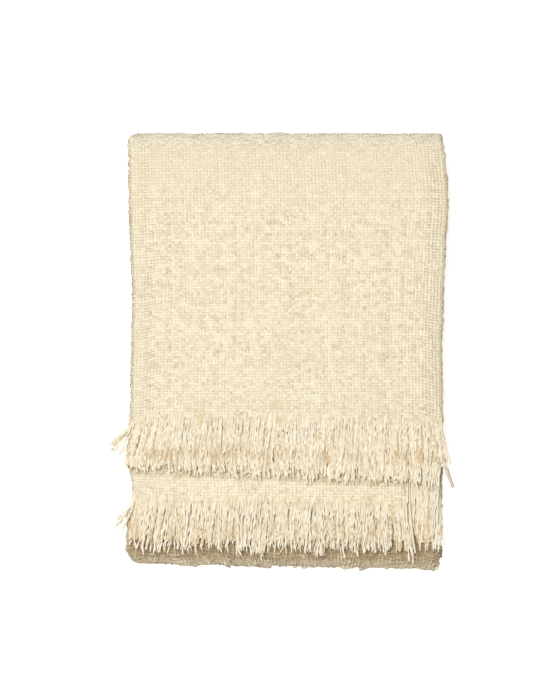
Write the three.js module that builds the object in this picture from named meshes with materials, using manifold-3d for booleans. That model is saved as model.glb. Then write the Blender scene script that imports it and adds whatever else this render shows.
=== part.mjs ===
// Boucle throw, folded in four across its width and then in four along its length, fringed on both short ends.
// Millimetres, +Z up. It lies on the plane Z = 0, its round back fold towards +Y and its fringes towards -Y.
import * as THREE from "three";
import { mergeVertices } from "three/addons/utils/BufferGeometryUtils.js";
import Module from "manifold-3d";

const wasm = await Module();
wasm.setup();
const { lerp, clamp, smoothstep, degToRad } = THREE.MathUtils;

// The flat throw
const CLOTH_WIDTH = 1300;
const CLOTH_LENGTH = 1600;
const CLOTH_THICKNESS = 2.8;
const FRINGE_LENGTH = 50;

// The folding: four layers across the width make a band, and four lengths of that band make the stack
const LAYER_PITCH = 3.4;
const BAND_COUNT = 4;
const BAND_GAP = 0.8;
const FOLDED_LENGTH = 462;
const INNER_SELVAGE_INSET = 36;
const OUTER_SELVAGE_INSET = 3;
const HIDDEN_FOLD_INSET = 0.4;
const LOWER_FLAP_END = -156;
const FOLD_EASE = 25;

// One row for each layer of the band, from its inner to its outer face. Away from the folds, the overhang is
// how far the layer ends past the band's end, at the left and at the right side, because it goes a shorter or
// a longer way round the turns.
const LAYERS = [
  { upper: { left: -3, right: 13 }, lower: { left: 5, right: 5 }, upperStrands: 26, lowerStrands: 64 },
  { upper: { left: -4, right: 5 }, lower: { left: -9, right: -9 }, upperStrands: 24, lowerStrands: 28 },
  { upper: { left: -5, right: -4 }, lower: { left: 1, right: 1 }, upperStrands: 34, lowerStrands: 18 },
  { upper: { left: -14, right: -14 }, lower: { left: 3, right: 3 }, upperStrands: 64, lowerStrands: 26 },
];

// How far each side of the stack is drawn in, or bulges where the number is negative, at distances along Y
const SIDE_DRAW = [
  { y: -231, left: -1, right: 4 },
  { y: -212, left: -2, right: 4 },
  { y: -145, left: 4, right: 3 },
  { y: -117, left: -2, right: 2 },
  { y: -53, left: 2, right: 3 },
  { y: 10, left: 3, right: 4 },
  { y: 63, left: 4, right: 2 },
  { y: 106, left: 2, right: 0 },
  { y: 159, left: 0, right: -3 },
  { y: 231, left: 0, right: 2 },
];

// Long shallow waves of the top surface
const SURFACE_WAVES = [
  { height: 0.9, lengthX: 310, lengthY: 520, phase: 0.6 },
  { height: 0.7, lengthX: -420, lengthY: 290, phase: 2.1 },
  { height: 0.4, lengthX: 900, lengthY: 240, phase: 4.0 },
];
const CORNER_RADIUS = { front: 14, back: 7 };
const SIDE_SLUMP = 5;
const SLUMP_POWER = 12;
const FRONT_SLANT = 0.018;
const FRONT_DROP = { height: 28, from: -203 };
const BAND_SHIFT = { reach: 1.2, bandsPerWave: 1.7 };

// The fringe
const STRIP_DEPTH = 3.5;
const ROOT_DEPTH = 0.8;
const SEAM_GAP = 0.45;
const STRAND_RADIUS = 0.9;
const STRAND_TAPER = 0.45;
const STRAND_DROOP = 1.6;
const STRAND_SWAY = 0.3;
const DROOP_REACH = 80;
const SIDE_SAG = 0.25;
const LEFT_SPLAY = { angle: degToRad(48), reach: 24, shortening: 0.38 };
const RIGHT_SPLAY = { upperAngle: degToRad(22), lowerAngle: degToRad(4), reach: 34 };
const LENGTH_SPREAD = { longest: 1.06, shortest: 0.75 };

// Steps of the facets
const RUN_STEPS = 5;
const FLAP_STEPS = 6;
const BACK_STEPS = 5;
const WIDE_TURN_STEPS = 7;
const TIGHT_TURN_STEPS = 5;
const STRAND_SIDES = 3;
const STRAND_STEPS = 2;
const WELD_DISTANCE = 1e-3;

// Factors of the repeatable scatter
const SCATTER = { index: 12.9898, channel: 78.233, scale: 43758.5453 };

// Sizes that follow from those above
const LAYER_COUNT = LAYERS.length;
const BAND_THICKNESS = (LAYER_COUNT - 1) * LAYER_PITCH + CLOTH_THICKNESS;
const BAND_PITCH = BAND_THICKNESS + BAND_GAP;
const STACK_HEIGHT = BAND_COUNT * BAND_PITCH - BAND_GAP;
const OUTER_FOLD_RADIUS = (LAYER_PITCH * (LAYER_COUNT - 1)) / 2;
const INNER_FOLD_RADIUS = LAYER_PITCH / 2;
const LEFT_REACH = OUTER_FOLD_RADIUS + CLOTH_THICKNESS / 2;
const RIGHT_REACH = INNER_FOLD_RADIUS + CLOTH_THICKNESS / 2;
const WIDTH_IN_FOLDS = Math.PI * (OUTER_FOLD_RADIUS + 2 * INNER_FOLD_RADIUS);
const SELVAGE_INSETS = INNER_SELVAGE_INSET + OUTER_SELVAGE_INSET;
const FOLD_INSETS = 4 * LEFT_REACH + 2 * RIGHT_REACH + 2 * HIDDEN_FOLD_INSET;
const FOLDED_WIDTH = (CLOTH_WIDTH - WIDTH_IN_FOLDS + SELVAGE_INSETS + FOLD_INSETS) / LAYER_COUNT;
const LEFT_EDGE = -FOLDED_WIDTH / 2;
const RIGHT_EDGE = FOLDED_WIDTH / 2;
const WIDE_TURN_RADIUS = 1.5 * BAND_PITCH;
const TIGHT_TURN_RADIUS = 0.5 * BAND_PITCH;
const BACK_TURN_Y = FOLDED_LENGTH / 2 - WIDE_TURN_RADIUS - BAND_THICKNESS / 2;
const FRONT_TURN_Y = -FOLDED_LENGTH / 2 + TIGHT_TURN_RADIUS + BAND_THICKNESS / 2;
const LENGTH_IN_TURNS = Math.PI * (WIDE_TURN_RADIUS + 2 * TIGHT_TURN_RADIUS);
const LENGTH_BELOW = 2 * (BACK_TURN_Y - FRONT_TURN_Y) + (BACK_TURN_Y - LOWER_FLAP_END);
const UPPER_FLAP_END = BACK_TURN_Y - (CLOTH_LENGTH - LENGTH_IN_TURNS - LENGTH_BELOW);

// Where the layers' facets meet across the width, the same in each layer so that they stay apart
const RUN_STATIONS = Array.from(
  { length: RUN_STEPS - 1 },
  (_, i) => LEFT_EDGE * Math.cos((Math.PI * (i + 1)) / RUN_STEPS),
);

const layerHeight = (layer) => (layer - (LAYER_COUNT - 1) / 2) * LAYER_PITCH;
const bandHeight = (band) => BAND_THICKNESS / 2 + band * BAND_PITCH;

// Which band each fringed end belongs to, which way that band faces, and where its cloth ends
const UPPER_END = {
  name: "upper",
  band: 3,
  facing: 1,
  rightAngle: RIGHT_SPLAY.upperAngle,
  endAt: (place) => UPPER_FLAP_END - place.upperOverhang,
};
const LOWER_END = {
  name: "lower",
  band: 2,
  facing: -1,
  rightAngle: RIGHT_SPLAY.lowerAngle,
  endAt: (place) => LOWER_FLAP_END - place.lowerOverhang,
};

// A repeatable number from -1 to 1 for each index and channel
function scatter(index, channel) {
  const value = Math.sin(index * SCATTER.index + channel * SCATTER.channel) * SCATTER.scale;
  return 2 * (value - Math.floor(value)) - 1;
}

// The side draw at y, eased from row to row of its table
function sideDraw(y, side) {
  const next = SIDE_DRAW.findIndex((row) => row.y >= y);
  if (next <= 0) return SIDE_DRAW.at(next)[side];
  const low = SIDE_DRAW[next - 1];
  const high = SIDE_DRAW[next];
  return lerp(low[side], high[side], smoothstep(y, low.y, high.y));
}

// How far both sides give way near the stack's two ends, which rounds its corners
function cornerDraw(y) {
  const radius = y < 0 ? CORNER_RADIUS.front : CORNER_RADIUS.back;
  const past = Math.abs(y) - (FOLDED_LENGTH / 2 - radius);
  const share = clamp(past / radius, 0, 1);
  return radius * (1 - Math.sqrt(1 - share ** 2));
}

// Takes a point of the evenly folded cloth to where the front folds sink under their own weight
function sink({ x, y, z }) {
  const share = smoothstep(-y, -FRONT_DROP.from, FOLDED_LENGTH / 2);
  return new THREE.Vector3(x, y, z * (1 - (FRONT_DROP.height / STACK_HEIGHT) * share));
}

// Takes a point of the evenly folded throw to where it lies, drawn in, slanted in front and uneven on top
function lie({ x, y, z }) {
  const height = z / STACK_HEIGHT;
  const across = (x - LEFT_EDGE) / FOLDED_WIDTH;
  const corner = cornerDraw(y);
  const drawn = lerp(sideDraw(y, "left") + corner, -sideDraw(y, "right") - corner, across);
  const shiftAngle = (2 * Math.PI * z) / (BAND_SHIFT.bandsPerWave * BAND_PITCH);
  const shift = BAND_SHIFT.reach * height * Math.sin(shiftAngle);
  const slant = -FRONT_SLANT * x * smoothstep(-y, 0, FOLDED_LENGTH / 2);
  let lift = -SIDE_SLUMP * Math.min(Math.abs(2 * across - 1), 1) ** SLUMP_POWER;
  for (const wave of SURFACE_WAVES) {
    lift += wave.height * Math.sin(2 * Math.PI * (x / wave.lengthX + y / wave.lengthY) + wave.phase);
  }
  return new THREE.Vector3(x + drawn + shift, y + slant, z + height * lift);
}

// Both overhangs of a layer at x, a distance from the fold that joins it to its partner, where the two end level
function overhangs(x, layer, partner, distance) {
  const share = (1 - smoothstep(distance, 0, FOLD_EASE)) / 2;
  const across = (x - LEFT_EDGE) / FOLDED_WIDTH;
  const at = ({ left, right }) => lerp(left, right, across);
  const mix = (key) => lerp(at(LAYERS[layer][key]), at(LAYERS[partner][key]), share);
  return { upperOverhang: mix("upper"), lowerOverhang: mix("lower") };
}

// The cloth's middle line across its width, from the inner selvage round three folds to the outer selvage. Each
// place has its position across (x) and out from the band's middle (w), the normal there, and both overhangs.
function widthSection() {
  const leftCentre = LEFT_EDGE + LEFT_REACH;
  const hiddenCentre = leftCentre + HIDDEN_FOLD_INSET;
  const rightCentre = RIGHT_EDGE - RIGHT_REACH;
  const places = [];
  const run = (layer, from, to) => {
    const heading = Math.sign(to.x - from.x);
    const between = RUN_STATIONS.filter((x) => (x - from.x) * (x - to.x) < 0);
    between.sort((a, b) => heading * (a - b));
    for (const x of [from.x, ...between, to.x]) {
      const near = Math.abs(x - from.x) < Math.abs(x - to.x) ? from : to;
      places.push({
        x,
        w: layerHeight(layer),
        nx: 0,
        nw: heading,
        ...overhangs(x, layer, near.partner, Math.abs(x - near.x)),
      });
    }
  };
  const turn = (side, centreX, fromLayer, toLayer, steps) => {
    const centreW = (layerHeight(fromLayer) + layerHeight(toLayer)) / 2;
    const rise = (layerHeight(toLayer) - layerHeight(fromLayer)) / 2;
    const radius = Math.abs(rise);
    const outward = -side * Math.sign(rise);
    for (let i = 1; i < steps; i++) {
      const angle = (Math.PI * i) / steps;
      const x = side * Math.sin(angle);
      const w = -Math.sign(rise) * Math.cos(angle);
      places.push({
        x: centreX + radius * x,
        w: centreW + radius * w,
        nx: outward * x,
        nw: outward * w,
        ...overhangs(centreX, fromLayer, toLayer, 0),
      });
    }
  };
  run(0, { x: RIGHT_EDGE - INNER_SELVAGE_INSET, partner: 0 }, { x: leftCentre, partner: 3 });
  turn(-1, leftCentre, 0, 3, WIDE_TURN_STEPS);
  run(3, { x: leftCentre, partner: 0 }, { x: rightCentre, partner: 2 });
  turn(1, rightCentre, 3, 2, TIGHT_TURN_STEPS);
  run(2, { x: rightCentre, partner: 3 }, { x: hiddenCentre, partner: 1 });
  turn(-1, hiddenCentre, 2, 1, TIGHT_TURN_STEPS);
  run(1, { x: hiddenCentre, partner: 2 }, { x: RIGHT_EDGE - OUTER_SELVAGE_INSET, partner: 1 });
  return places;
}

// The section's closed outline at the cloth's thickness: its outer side, then its inner side back again
function outline(section) {
  const offset = (place, side) => ({
    ...place,
    x: place.x + (side * CLOTH_THICKNESS * place.nx) / 2,
    w: place.w + (side * CLOTH_THICKNESS * place.nw) / 2,
  });
  return [...section.map((p) => offset(p, 1)), ...section.toReversed().map((p) => offset(p, -1))];
}

// The stations along the length, from the upper end round three turns to the lower end.
// Each one is a function that takes a place of the width section to a point in space.
function lengthStations() {
  const stations = [];
  const run = (band, facing, fromY, toY, shares) => {
    for (const share of shares) {
      stations.push((place) => {
        const y = lerp(fromY(place), toY(place), share);
        return new THREE.Vector3(place.x, y, bandHeight(band) + facing * place.w);
      });
    }
  };
  const turn = (side, fromBand, toBand, facing, steps) => {
    const centreY = side < 0 ? FRONT_TURN_Y : BACK_TURN_Y;
    const centreZ = (bandHeight(fromBand) + bandHeight(toBand)) / 2;
    const rise = (bandHeight(toBand) - bandHeight(fromBand)) / 2;
    const outward = -facing * Math.sign(rise);
    for (let i = 1; i < steps; i++) {
      const angle = (Math.PI * i) / steps;
      stations.push((place) => {
        const radius = Math.abs(rise) + outward * place.w;
        const y = centreY + side * radius * Math.sin(angle);
        const z = centreZ - Math.sign(rise) * radius * Math.cos(angle);
        return new THREE.Vector3(place.x, y, z);
      });
    }
  };
  const back = () => BACK_TURN_Y;
  const front = () => FRONT_TURN_Y;
  const even = (steps) => Array.from({ length: steps + 1 }, (_, i) => i / steps);
  const dropShare = (FRONT_DROP.from - FRONT_TURN_Y) / (BACK_TURN_Y - FRONT_TURN_Y);
  const fromFront = [0, dropShare, ...even(BACK_STEPS).slice(1)];
  const toFront = fromFront.map((share) => 1 - share).reverse();
  run(UPPER_END.band, 1, UPPER_END.endAt, back, even(FLAP_STEPS));
  turn(1, UPPER_END.band, 0, 1, WIDE_TURN_STEPS);
  run(0, -1, back, front, toFront);
  turn(-1, 0, 1, -1, TIGHT_TURN_STEPS);
  run(1, 1, front, back, fromFront);
  turn(1, 1, LOWER_END.band, 1, TIGHT_TURN_STEPS);
  run(LOWER_END.band, -1, back, LOWER_END.endAt, even(FLAP_STEPS));
  return stations;
}

// A closed solid through rings of points. The cap function lists the triangles of one of its two ends.
function loft(rings, cap) {
  const size = rings[0].length;
  const positions = rings.flat().flatMap((p) => [p.x, p.y, p.z]);
  const triangles = [];
  for (let r = 0; r + 1 < rings.length; r++) {
    for (let i = 0; i < size; i++) {
      const a = r * size + i;
      const b = r * size + ((i + 1) % size);
      triangles.push([a, b, b + size], [a, b + size, a + size]);
    }
  }
  const last = (rings.length - 1) * size;
  for (const [a, b, c] of cap(size)) triangles.push([a, c, b], [last + a, last + b, last + c]);
  return new THREE.BufferGeometry()
    .setAttribute("position", new THREE.Float32BufferAttribute(positions, 3))
    .setIndex(triangles.flat());
}

// The cap of a ribbon's outline: quads between its outer and its inner side
function ribbonCap(size) {
  const triangles = [];
  for (let i = 0; i + 1 < size / 2; i++) {
    const opposite = size - 1 - i;
    triangles.push([i, i + 1, opposite - 1], [i, opposite - 1, opposite]);
  }
  return triangles;
}

// The cap of a strand: a fan
function fanCap(size) {
  return Array.from({ length: size - 2 }, (_, i) => [0, i + 1, i + 2]);
}

// The whole cloth: its width section carried along its length
function clothGeometry(section) {
  const ring = outline(section);
  return loft(lengthStations().map((station) => ring.map((place) => lie(sink(station(place))))), ribbonCap);
}

// The narrow strip that holds the strands of one end, folded as the cloth's edge is
function stripGeometry(end, section) {
  const ring = outline(section);
  const at = (depth) => ring.map((place) => {
    const z = bandHeight(end.band) + end.facing * place.w;
    return lie(new THREE.Vector3(place.x, end.endAt(place) - depth, z));
  });
  const rings = [at(SEAM_GAP), at(SEAM_GAP + STRIP_DEPTH)];
  return loft(end.facing > 0 ? rings.toReversed() : rings, ribbonCap);
}

// Lengths along the section at each of its places
function arcLengths(section) {
  const lengths = [0];
  for (let i = 1; i < section.length; i++) {
    const step = Math.hypot(section[i].x - section[i - 1].x, section[i].w - section[i - 1].w);
    lengths.push(lengths[i - 1] + step);
  }
  return lengths;
}

// The place at a given length along the section
function placeAt(section, lengths, length) {
  const next = clamp(lengths.findIndex((value) => value >= length), 1, section.length - 1);
  const share = (length - lengths[next - 1]) / (lengths[next] - lengths[next - 1]);
  const mix = (key) => lerp(section[next - 1][key], section[next][key], share);
  return { x: mix("x"), w: mix("w"), upperOverhang: mix("upperOverhang"), lowerOverhang: mix("lowerOverhang") };
}

// The roots of one end's strands, spread evenly over each layer and half of the folds beside it
function strandRoots(end, section) {
  const lengths = arcLengths(section);
  const outerFold = Math.PI * OUTER_FOLD_RADIUS;
  const innerFold = Math.PI * INNER_FOLD_RADIUS;
  const middleRun = FOLDED_WIDTH - LEFT_REACH - RIGHT_REACH;
  const innerEnd = FOLDED_WIDTH - INNER_SELVAGE_INSET - LEFT_REACH + outerFold / 2;
  const outerEnd = innerEnd + outerFold / 2 + middleRun + innerFold / 2;
  const middleEnd = outerEnd + innerFold + middleRun;
  const spans = [
    { layer: 0, from: 0, to: innerEnd },
    { layer: 3, from: innerEnd, to: outerEnd },
    { layer: 2, from: outerEnd, to: middleEnd },
    { layer: 1, from: middleEnd, to: lengths.at(-1) },
  ];
  return spans.flatMap(({ layer, from, to }) => {
    const count = LAYERS[layer][end.name + "Strands"];
    const spacing = (to - from) / count;
    const rank = end.facing > 0 ? layer : LAYER_COUNT - 1 - layer;
    return Array.from({ length: count }, (_, i) => ({
      ...placeAt(section, lengths, from + (i + 0.5) * spacing),
      rank,
      spacing,
    }));
  });
}

// How a strand rooted at x fans out beside the edges of the stack: its angle, and how much of its length shows
function splay(end, x) {
  const left = clamp(1 - (x - LEFT_EDGE) / LEFT_SPLAY.reach, 0, 1) ** 2;
  const right = clamp(1 - (RIGHT_EDGE - x) / RIGHT_SPLAY.reach, 0, 1) ** 2;
  return {
    angle: end.rightAngle * right - LEFT_SPLAY.angle * left,
    reach: 1 - LEFT_SPLAY.shortening * left,
  };
}

// One strand: a lock that runs out of the strip, sinks towards the layer below it and tapers to its tip
function strandGeometry(end, root, index) {
  const { longest, shortest } = LENGTH_SPREAD;
  const { angle, reach } = splay(end, root.x);
  const length = FRINGE_LENGTH * reach * lerp(shortest, longest, (1 + scatter(index, 1)) / 2);
  const sway = STRAND_SWAY * (root.spacing - 2 * STRAND_RADIUS) * scatter(index, 2);
  const startY = end.endAt(root) - SEAM_GAP - STRIP_DEPTH + ROOT_DEPTH;
  const startZ = bandHeight(end.band) + end.facing * root.w;
  const rings = [];
  for (let i = 0; i <= STRAND_STEPS; i++) {
    const share = i / STRAND_STEPS;
    const x = root.x + Math.sin(angle) * length * share + sway * Math.sin((share * Math.PI) / 2);
    const y = startY - Math.cos(angle) * length * share;
    const droop = (root.rank + 1) * STRAND_DROOP * smoothstep(startY - y, 0, DROOP_REACH);
    const overhang = Math.max(LEFT_EDGE - x, x - RIGHT_EDGE, 0);
    const z = startZ - droop - SIDE_SAG * overhang;
    const radius = STRAND_RADIUS * (1 - STRAND_TAPER * share);
    rings.push(Array.from({ length: STRAND_SIDES }, (_, k) => {
      const turn = (2 * Math.PI * k) / STRAND_SIDES + Math.PI / 2;
      return lie(new THREE.Vector3(x + radius * Math.cos(turn), y, z + radius * Math.sin(turn)));
    }));
  }
  return loft(rings, fanCap);
}

// A closed geometry as a solid that can be joined
function solidOf(geometry) {
  const merged = mergeVertices(geometry, WELD_DISTANCE);
  return new wasm.Manifold(new wasm.Mesh({
    numProp: 3,
    vertProperties: merged.attributes.position.array,
    triVerts: new Uint32Array(merged.index.array),
  }));
}

// A solid as a geometry
function geometryOf(solid) {
  const { vertProperties, triVerts } = solid.getMesh();
  return new THREE.BufferGeometry()
    .setAttribute("position", new THREE.BufferAttribute(vertProperties, 3))
    .setIndex(new THREE.BufferAttribute(triVerts, 1));
}

// One end's fringe: the strip with all its strands fused to it
function fringeGeometry(end, section) {
  let solid = solidOf(stripGeometry(end, section));
  strandRoots(end, section).forEach((root, index) => {
    solid = solid.add(solidOf(strandGeometry(end, root, index)));
  });
  return geometryOf(solid);
}

// A named mesh in its own material
function piece(name, geometry, color, roughness) {
  geometry.computeVertexNormals();
  const mesh = new THREE.Mesh(geometry, new THREE.MeshStandardMaterial({ color, roughness, metalness: 0 }));
  mesh.name = name;
  return mesh;
}

const CREAM = 0xf1e3c5;
const PALE_CREAM = 0xf0e4cb;
const WOOL_ROUGHNESS = 0.95;
const YARN_ROUGHNESS = 0.9;

const section = widthSection();
const throwGroup = new THREE.Group();
throwGroup.add(
  piece("cloth", clothGeometry(section), CREAM, WOOL_ROUGHNESS),
  piece("upper_fringe", fringeGeometry(UPPER_END, section), PALE_CREAM, YARN_ROUGHNESS),
  piece("lower_fringe", fringeGeometry(LOWER_END, section), PALE_CREAM, YARN_ROUGHNESS),
);

export default throwGroup;
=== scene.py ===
import math

import bpy
import numpy as np
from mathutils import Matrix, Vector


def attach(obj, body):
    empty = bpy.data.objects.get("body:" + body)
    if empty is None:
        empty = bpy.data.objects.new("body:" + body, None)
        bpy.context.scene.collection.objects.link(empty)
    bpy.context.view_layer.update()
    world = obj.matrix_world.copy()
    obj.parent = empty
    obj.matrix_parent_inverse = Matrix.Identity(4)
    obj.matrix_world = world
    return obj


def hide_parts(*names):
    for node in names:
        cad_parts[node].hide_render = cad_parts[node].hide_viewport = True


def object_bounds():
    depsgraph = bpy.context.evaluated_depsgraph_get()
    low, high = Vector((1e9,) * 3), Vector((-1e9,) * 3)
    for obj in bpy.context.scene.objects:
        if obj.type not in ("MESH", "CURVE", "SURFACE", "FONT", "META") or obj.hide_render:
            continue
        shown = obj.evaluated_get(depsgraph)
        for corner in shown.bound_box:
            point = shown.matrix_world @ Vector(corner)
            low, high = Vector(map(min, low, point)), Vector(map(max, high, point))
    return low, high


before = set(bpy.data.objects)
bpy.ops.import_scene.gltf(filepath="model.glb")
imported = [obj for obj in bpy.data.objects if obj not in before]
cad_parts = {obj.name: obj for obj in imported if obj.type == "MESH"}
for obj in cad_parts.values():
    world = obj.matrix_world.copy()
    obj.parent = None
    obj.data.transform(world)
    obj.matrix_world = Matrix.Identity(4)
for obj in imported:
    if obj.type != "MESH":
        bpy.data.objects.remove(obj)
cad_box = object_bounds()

# The looks of a folded boucle throw: woven yarns, loops and loose fringes on the folds of the frame.
# Sizes are in millimetres until a mesh is made.
MM = 0.001
SHORTEST_VECTOR = 1e-9
NOISE_LIMIT = 2.0
UP = np.array([0.0, 0.0, 1.0])
rng = np.random.default_rng(11)

# The flat throw and its folds, as in the frame
CLOTH_WIDTH = 1300.0
CLOTH_LENGTH = 1600.0
CLOTH_THICKNESS = 2.8
FRINGE_LENGTH = 50.0
LAYER_PITCH = 3.4
LAYER_COUNT = 4
BAND_COUNT = 4
BAND_GAP = 0.8
FOLDED_LENGTH = 462.0
INNER_SELVAGE_INSET = 36.0
OUTER_SELVAGE_INSET = 3.0
HIDDEN_FOLD_INSET = 0.4
LOWER_FLAP_END = -156.0
FOLD_EASE = 25.0

# How far each layer ends past its band's end, at the left and at the right
UPPER_OVERHANG = np.array([(-3.0, 13.0), (-4.0, 5.0), (-5.0, -4.0), (-14.0, -14.0)])
LOWER_OVERHANG = np.array([(5.0, 5.0), (-9.0, -9.0), (1.0, 1.0), (3.0, 3.0)])

# How the stack lies: rows of y, left draw and right draw, then waves of height, length in x and y, and phase
SIDE_DRAW = np.array([
    (-231, -1, 4), (-212, -2, 4), (-145, 4, 3), (-117, -2, 2), (-53, 2, 3),
    (10, 3, 4), (63, 4, 2), (106, 2, 0), (159, 0, -3), (231, 0, 2),
], float)
SURFACE_WAVES = [(0.9, 310, 520, 0.6), (0.7, -420, 290, 2.1), (0.4, 900, 240, 4.0)]
FRONT_CORNER_RADIUS = 14.0
BACK_CORNER_RADIUS = 7.0
SIDE_SLUMP = 5.0
SLUMP_POWER = 12
FRONT_SLANT = 0.018
FRONT_DROP = 28.0
FRONT_DROP_FROM = 203.0
BAND_SHIFT = 1.2
BANDS_PER_SHIFT = 1.7

# Sizes that follow from those above
BAND_THICKNESS = (LAYER_COUNT - 1) * LAYER_PITCH + CLOTH_THICKNESS
BAND_PITCH = BAND_THICKNESS + BAND_GAP
STACK_HEIGHT = BAND_COUNT * BAND_PITCH - BAND_GAP
OUTER_FOLD_RADIUS = LAYER_PITCH * (LAYER_COUNT - 1) / 2
INNER_FOLD_RADIUS = LAYER_PITCH / 2
LEFT_REACH = OUTER_FOLD_RADIUS + CLOTH_THICKNESS / 2
RIGHT_REACH = INNER_FOLD_RADIUS + CLOTH_THICKNESS / 2
WIDTH_IN_FOLDS = math.pi * (OUTER_FOLD_RADIUS + 2 * INNER_FOLD_RADIUS)
SELVAGE_INSETS = INNER_SELVAGE_INSET + OUTER_SELVAGE_INSET
FOLD_INSETS = 4 * LEFT_REACH + 2 * RIGHT_REACH + 2 * HIDDEN_FOLD_INSET
FOLDED_WIDTH = (CLOTH_WIDTH - WIDTH_IN_FOLDS + SELVAGE_INSETS + FOLD_INSETS) / LAYER_COUNT
LEFT_EDGE = -FOLDED_WIDTH / 2
RIGHT_EDGE = FOLDED_WIDTH / 2
LEFT_CENTRE = LEFT_EDGE + LEFT_REACH
HIDDEN_CENTRE = LEFT_CENTRE + HIDDEN_FOLD_INSET
RIGHT_CENTRE = RIGHT_EDGE - RIGHT_REACH
WIDE_TURN_RADIUS = 1.5 * BAND_PITCH
TIGHT_TURN_RADIUS = 0.5 * BAND_PITCH
BACK_TURN_Y = FOLDED_LENGTH / 2 - WIDE_TURN_RADIUS - BAND_THICKNESS / 2
FRONT_TURN_Y = -FOLDED_LENGTH / 2 + TIGHT_TURN_RADIUS + BAND_THICKNESS / 2
LENGTH_IN_TURNS = math.pi * (WIDE_TURN_RADIUS + 2 * TIGHT_TURN_RADIUS)
LENGTH_BELOW = 2 * (BACK_TURN_Y - FRONT_TURN_Y) + (BACK_TURN_Y - LOWER_FLAP_END)
UPPER_FLAP_END = BACK_TURN_Y - (CLOTH_LENGTH - LENGTH_IN_TURNS - LENGTH_BELOW)

# The yarns of the weave
WARP_PITCH = 3.68
WEFT_PITCH = 3.1
WARP_RADIUS = 1.24
WEFT_RADIUS = 1.22
WARP_SPREAD = 0.08
WEFT_SPREAD = 0.13
WEFT_LIMITS = (-1.6, 2.4)
SLUB_ROUGHNESS = 0.8
FULLNESS_SPREAD = 0.04
YARN_HEIGHT = 0.5
LOOP_HEIGHT = 1.0
YARN_SEAT = 0.55
FLOOR_SEAT = 1.7
LEAST_STATIONS = 4

# How the yarns rise and wander
WARP_RISE = 0.36
WEFT_RISE = 0.2
RISE_SPREAD = 0.08
WARP_WANDER = 0.16
WEFT_WANDER = 0.25
FINE_WANDER = 0.6
FLOAT_SHARE = 0.06
FRONT_FLOAT_SHARE = 0.15
RELIEF = 0.14
LUMPY_RELIEF = 0.9
FRONT_RELIEF = 2.2
SIDE_RELIEF = 1.1
LOWEST_RELIEF = 0.6
RELIEF_SHARE = 0.7
NUB_RISE = 0.16
NUB_SWELL = 0.12
NUB_OWN = 0.95
NUB_SHARED = 0.2

# Over how many nodes the unevenness of the weave is smooth
NUB_CELLS = 3
LUMP_CELLS = 6
FINE_LUMP_CELLS = 3
FULLNESS_CELLS = 9
DRIFT_CELLS = 5
WANDER_CELLS = 6
FINE_WANDER_CELLS = 2
SLUB_CELLS = 3

# The tones of the weave, from about 0 for deep to 1 for pale. Besides the yarn's own uneven tone, they hold
# painted shade and painted light, as marked below. It is calmer near the back fold and the sides.
# Painted shade: the sheet under the yarns is deep in tone where it shows in the gaps
SHEET_SHADE_TONE = 0.3
BASE_TONE = 0.52
# Painted shade: the front fold is deeper in tone
FRONT_SHADE_TONE = -0.24
# Painted light: the lower flap is paler than the rest of the same cloth
FLAP_LIGHT_TONE = 0.6
# Painted light: the weave is paler where it slopes, at the rims of the folds and most of all on the front
# fold
RIM_LIGHT_TONE = 0.15
FRONT_RIM_LIGHT_TONE = 0.5
# Painted light and shade: a yarn is paler where it crosses over and deeper where it dips under
WAVE_SHADE_TONE = 0.23
# Painted light: nubs and lumps that stand higher are paler, lower ones deeper
NUB_LIGHT_TONE = 0.16
LUMP_LIGHT_TONE = 0.09
DRIFT_TONE = 0.02
SPECKLE_TONE = 0.06
STREAK_TONE = 0.05
# Painted shade on the foot of the warp and the weft
WARP_FOOT_SHADE = 0.6
WEFT_FOOT_SHADE = 0.2
FRONT_CONTRAST = 0.3
# Painted shadow on the flap under the tips of the upper fringe
FRINGE_SHADOW_TONE = 0.4
FRINGE_SHADOW_REACH = 6.0
CALM_SHARE = 0.65
CALM_REACH = 75.0
CALM_SIDE_REACH = 36.0

# The loose threads of each fringe. The bed is the share of the length that the threads underneath have.
UPPER_FRINGE = {
    "length": 46.5,
    "bed": 0.9,
    "top_shorter": 0.17,
    "outer_longer": 8.0,
    "right_splay": math.radians(15),
    "crinkle": 0.6,
    "ragged": 0.045,
    "bed_tip_shade": 0.1,
    "shade_tone": 0.36,
}
LOWER_FRINGE = {
    "length": 52.5,
    "bed": 0.8,
    "top_shorter": 0.0,
    "outer_longer": 0.0,
    "right_splay": math.radians(3),
    "crinkle": 0.65,
    "ragged": 0.09,
    "bed_tip_shade": 0.5,
    "shade_tone": 0.0,
}

# Sections as places across and up. A yarn and a thread are open below, and a loop is closed.
TOP_YARN_SECTION = np.array([(1, -0.35), (0.72, 0.62), (0, 1), (-0.72, 0.62), (-1, -0.35)])
YARN_SECTION = np.array([(1, -0.35), (0.5, 0.85), (-0.5, 0.85), (-1, -0.35)])
THREAD_SECTION = np.array([(1, -0.2), (0.5, 0.8), (-0.5, 0.8), (-1, -0.2)])
LOOP_SECTION = np.array([(1, 0), (0, 1), (-1, 0), (0, -1), (1, 0)])


def smooth(value, low, high):
    """From 0 at low to 1 at high, eased at both ends."""
    share = np.clip((value - low) / (high - low), 0, 1)
    return share * share * (3 - 2 * share)


def unit(vectors):
    return vectors / np.maximum(np.linalg.norm(vectors, axis=-1, keepdims=True), SHORTEST_VECTOR)


def spread(shape, low=-NOISE_LIMIT, high=NOISE_LIMIT):
    """Random values of about unit spread, without the far ones."""
    return rng.normal(size=shape).clip(low, high)


def layer_height(layer):
    return (layer - (LAYER_COUNT - 1) / 2) * LAYER_PITCH


def band_height(band):
    return BAND_THICKNESS / 2 + band * BAND_PITCH


# How the evenly folded throw lies


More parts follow.
